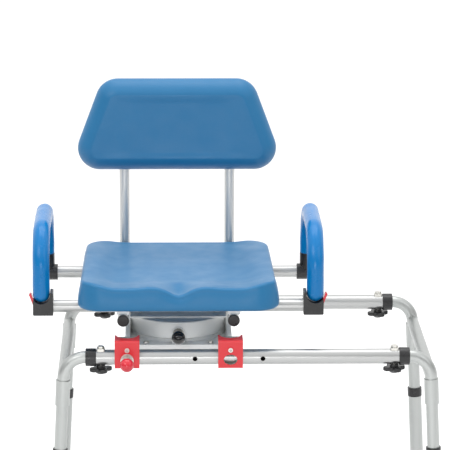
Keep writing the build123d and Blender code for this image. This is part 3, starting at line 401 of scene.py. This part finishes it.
def foam(name, colour, pale, roughness, grain, sheen, gloss):
    """Integral-skin foam: a fine closed grain, faint mottling and rubbed high spots."""
    f = Finish(
        name, colour, roughness, Sheen_Weight=sheen, Sheen_Roughness=0.35, Specular_IOR_Level=gloss)
    f.tint(f.remap(f.noise(9.0, 2.0), 0.35, 0.7, 0.0, 0.10), pale)
    f.tint(f.remap(f.noise(160.0, 4.0), 0.5, 0.75, 0.0, 0.05), pale)
    f.rough(f.remap(f.noise(30.0, 4.0), 0.3, 0.7, roughness - 0.05, roughness + 0.06))
    f.relief(f.cells(grain), 0.00006, 0.5)
    f.relief(f.noise(35.0, 2.0), 0.0001, 0.25)
    return f.done()


def drawn_tube(name, colour, along, roughness, metallic=1.0):
    """Anodised tube with fine drawing lines along its length and handling marks; its bores are darkened
    with painted shade.
    """
    stretch = {"x": (0.02, 1, 1), "y": (1, 0.02, 1), "z": (1, 1, 0.02), "all": (1, 1, 1)}[along]
    f = Finish(name, colour, roughness, Metallic=metallic)
    lines = f.noise(900.0, 2.0, stretch)
    f.tint(f.remap(lines, 0.3, 0.8, 0.0, 0.10), tuple(c * 0.75 for c in colour))
    f.tint(f.remap(f.noise(14.0, 5.0), 0.5, 0.8, 0.0, 0.12), tuple(c * 0.8 for c in colour))
    # painted shade: near-black inside bores and tubes, where the surface faces itself
    f.tint(f.painted_cavity_shade(), (0.008, 0.008, 0.009))
    f.rough(f.remap(f.noise(120.0, 4.0, stretch), 0.3, 0.7, roughness - 0.06, roughness + 0.08))
    f.relief(lines, 0.00002, 0.25)
    return f.done()


def moulded(name, colour, roughness, texture=700.0, depth=0.00008, worn=(0.10, 0.10, 0.105)):
    """Moulded plastic or rubber with a fine spark-eroded texture and paler rubbed edges."""
    f = Finish(name, colour, roughness)
    f.tint(f.remap(f.noise(25.0, 4.0), 0.45, 0.75, 0.0, 0.35), tuple(c * 1.6 + 0.004 for c in colour))
    f.tint(f.sharp_edges(), worn)
    f.rough(f.remap(f.noise(90.0, 3.0), 0.3, 0.7, roughness - 0.07, roughness + 0.08))
    f.relief(f.noise(texture, 2.0), depth, 0.4)
    return f.done()


def powder_coat():
    """Gloss red powder coat with a faint orange-peel surface."""
    f = Finish("red_powder_coat", (0.70, 0.020, 0.030), 0.42, Coat_Weight=0.25, Coat_Roughness=0.15)
    f.tint(f.remap(f.noise(30.0, 3.0), 0.4, 0.75, 0.0, 0.12), (0.60, 0.02, 0.03))
    f.tint(f.sharp_edges(), (0.80, 0.10, 0.10))
    f.rough(f.remap(f.noise(80.0, 3.0), 0.3, 0.7, 0.28, 0.42))
    f.relief(f.noise(450.0, 1.0), 0.00008, 0.4)
    return f.done()


def polished_plastic(name, colour, roughness=0.16):
    """Turned and polished plastic, with fine rub marks."""
    f = Finish(name, colour, roughness, Coat_Weight=0.3, Coat_Roughness=0.05)
    paler = tuple(min(1.0, c * 1.5 + 0.01) for c in colour)
    f.tint(f.remap(f.noise(60.0, 3.0), 0.45, 0.8, 0.0, 0.3), paler)
    f.rough(f.remap(f.noise(200.0, 4.0), 0.3, 0.8, roughness - 0.05, roughness + 0.16))
    f.relief(f.noise(120.0, 2.0), 0.00005, 0.3)
    return f.done()


def plated(name, colour, roughness):
    """Plated steel with cloudy zinc and tiny scratches."""
    f = Finish(name, colour, roughness, Metallic=1.0)
    f.tint(f.remap(f.noise(180.0, 4.0), 0.4, 0.7, 0.0, 0.35), (0.45, 0.44, 0.40))
    f.tint(f.sharp_edges(), (0.85, 0.85, 0.83))
    # painted shade: near-black in small hollows and bores, where the surface faces itself
    f.tint(f.painted_cavity_shade(0.004), (0.02, 0.02, 0.02))
    f.rough(f.remap(f.noise(260.0, 4.0), 0.3, 0.7, roughness - 0.08, roughness + 0.12))
    f.relief(f.noise(800.0, 3.0), 0.00003, 0.3)
    return f.done()


def glide_nylon():
    """Waxy grey-green nylon."""
    f = Finish("glide_nylon", (0.27, 0.33, 0.30), 0.42, Subsurface_Weight=0.1)
    f.tint(f.remap(f.noise(40.0, 3.0), 0.4, 0.75, 0.0, 0.3), (0.36, 0.42, 0.38))
    f.relief(f.noise(300.0, 2.0), 0.00005, 0.3)
    return f.done()


MATERIALS = {
    "rail_aluminium": drawn_tube("rail_aluminium", (0.46, 0.465, 0.46), "x", 0.32, 0.9),
    "leg_aluminium": drawn_tube("leg_aluminium", (0.46, 0.475, 0.465), "z", 0.40),
    "plate_aluminium": drawn_tube("plate_aluminium", (0.92, 0.93, 0.92), "all", 0.40, 0.18),
    "red_sheet": powder_coat(),
    "red_plastic": polished_plastic("red_plastic", (0.66, 0.016, 0.035)),
    "black_plastic": moulded("black_plastic", (0.012, 0.012, 0.013), 0.32),
    "black_knob": polished_plastic("black_knob", (0.012, 0.012, 0.013)),
    "glide_nylon": glide_nylon(),
    "seat_foam": foam("seat_foam", (0.014, 0.158, 0.345), (0.05, 0.23, 0.45), 0.40, 520.0, 0.10, 0.38),
    "arm_foam": foam("arm_foam", (0.0005, 0.175, 0.470), (0.005, 0.22, 0.57), 0.24, 640.0, 0.05, 0.34),
    "board": moulded("board", (0.030, 0.030, 0.032), 0.55, texture=350.0, depth=0.0002),
    "foot_rubber": moulded("foot_rubber", (0.022, 0.022, 0.022), 0.72, texture=500.0, depth=0.0002),
    "zinc_steel": plated("zinc_steel", (0.66, 0.65, 0.61), 0.34),
    "bright_steel": plated("bright_steel", (0.80, 0.80, 0.80), 0.18),
}

slot_of = {part["node"]: part["material_slot"] for part in frame["record"]["subparts"]}


def dress(piece, material):
    """Put one material on every face of a piece."""
    piece.data.materials.clear()
    piece.data.materials.append(material)


for name, node in frame["nodes"].items():
    dress(node, MATERIALS[slot_of[name]])

post_finish = drawn_tube("post_aluminium", (0.62, 0.62, 0.60), "z", 0.30, 0.7)
dress(frame["nodes"]["backrest_frame"], post_finish)


# =================================================================== soft pieces on their bodies
def settle(piece, body, node):
    """A new piece rides on a body in place of one CAD node, and takes the material of that node's slot."""
    dress(piece, MATERIALS[slot_of[node]])
    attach(piece, body)
    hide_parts(node)


settle(seat_piece(), "seat", "seat_cushion")
settle(backrest_piece(), "seat", "backrest_pad")
for side in SIDES:
    settle(arm_sleeve(side), f"arm_{side}", f"arm_pad_{side}")


# =================================================================== floor, light and camera
def floor():
    """A pale floor. It looks white, but gives back only part of the light that falls on it."""
    reach = 40.0
    corners = [(-reach, -reach, 0), (reach, -reach, 0), (reach, reach, 0), (-reach, reach, 0)]
    mesh = bpy.data.meshes.new("floor")
    mesh.from_pydata(corners, [], [(0, 1, 2, 3)])
    plane = bpy.data.objects.new("floor", mesh)
    bpy.context.scene.collection.objects.link(plane)
    f = Finish("floor_finish", (0.97, 0.97, 0.97), 0.85, Specular_IOR_Level=0.1)
    f.tint(f.remap(f.noise(1.5, 2.0), 0.4, 0.7, 0.0, 0.03), (0.94, 0.94, 0.945))
    bounced = f.add("ShaderNodeLightPath").outputs["Is Diffuse Ray"]
    f.tint(bounced, (0.55, 0.55, 0.55))
    dress(plane, f.done())


def softbox(name, position, target, width, height, watts):
    light = bpy.data.lights.new(name, "AREA")
    light.shape = "RECTANGLE"
    light.size = width
    light.size_y = height
    light.energy = watts
    lamp = bpy.data.objects.new(name, light)
    lamp.location = position
    lamp.rotation_euler = (Vector(target) - Vector(position)).to_track_quat("-Z", "Y").to_euler()
    bpy.context.scene.collection.objects.link(lamp)


def surroundings():
    """A white backdrop behind the bench and a dim room behind the camera, for grey lines on bare metal."""
    world = bpy.data.worlds.new("studio")
    bpy.context.scene.world = world
    world.use_nodes = True
    tree = world.node_tree
    place = tree.nodes.new("ShaderNodeTexCoord")
    split = tree.nodes.new("ShaderNodeSeparateXYZ")
    tree.links.new(place.outputs["Generated"], split.inputs[0])
    ramp = tree.nodes.new("ShaderNodeValToRGB")
    stops = ramp.color_ramp.elements
    levels = ((0.0, 0.70), (0.47, 0.55), (0.52, 0.30), (0.62, 0.30), (0.74, 0.95), (1.0, 1.35))
    stops[0].position, stops[1].position = levels[0][0], levels[-1][0]
    for position, _ in levels[1:-1]:
        stops.new(position)
    for stop, (_, level) in zip(stops, levels):
        stop.color = (level, level, level * 1.005, 1)
    to_unit = tree.nodes.new("ShaderNodeMapRange")
    to_unit.inputs["From Min"].default_value = -1.0
    tree.links.new(split.outputs["Z"], to_unit.inputs["Value"])
    tree.links.new(to_unit.outputs[0], ramp.inputs[0])
    backdrop = tree.nodes.new("ShaderNodeMapRange")
    backdrop.inputs["From Min"].default_value = -0.05
    backdrop.inputs["From Max"].default_value = 0.40
    tree.links.new(split.outputs["Y"], backdrop.inputs["Value"])
    seen = tree.nodes.new("ShaderNodeLightPath")
    colour = ramp.outputs[0]
    for amount, level in ((backdrop.outputs[0], 1.2), (seen.outputs["Is Camera Ray"], 1.0)):
        mix = tree.nodes.new("ShaderNodeMix")
        mix.data_type = "RGBA"
        tree.links.new(amount, mix.inputs[0])
        tree.links.new(colour, mix.inputs[6])
        mix.inputs[7].default_value = (level, level, level, 1)
        colour = mix.outputs[2]
    tree.links.new(colour, tree.nodes["Background"].inputs["Color"])
    tree.nodes["Background"].inputs["Strength"].default_value = 1.0


def camera():
    """Looks down a little from in front, through a long lens."""
    data = bpy.data.cameras.new("camera")
    data.sensor_width = 36.0
    data.lens = 213.9
    eye = bpy.data.objects.new("camera", data)
    eye.location = (-0.1712, -5.4813, 2.0234)
    aim = Euler((math.radians(90 - 13.92), 0, math.radians(-1.51)), "XYZ").to_matrix()
    roll = Euler((0, 0, math.radians(0.21)), "XYZ").to_matrix()
    eye.rotation_euler = (aim @ roll).to_euler()
    bpy.context.scene.collection.objects.link(eye)
    bpy.context.scene.camera = eye


floor()
softbox("key_light", (-2.4, -3.0, 3.4), (-0.1, 0, 0.5), 2.4, 1.8, 40)
softbox("fill_light", (3.0, -2.2, 2.2), (0, 0, 0.5), 1.6, 2.2, 12)
softbox("low_light", (-0.3, -3.4, 0.75), (-0.12, 0, 0.45), 1.2, 0.5, 14)
softbox("top_light", (0.0, 0.6, 3.6), (0, 0, 0.4), 3.0, 2.0, 40)
surroundings()
camera()
bpy.context.scene.view_settings.view_transform = "Standard"
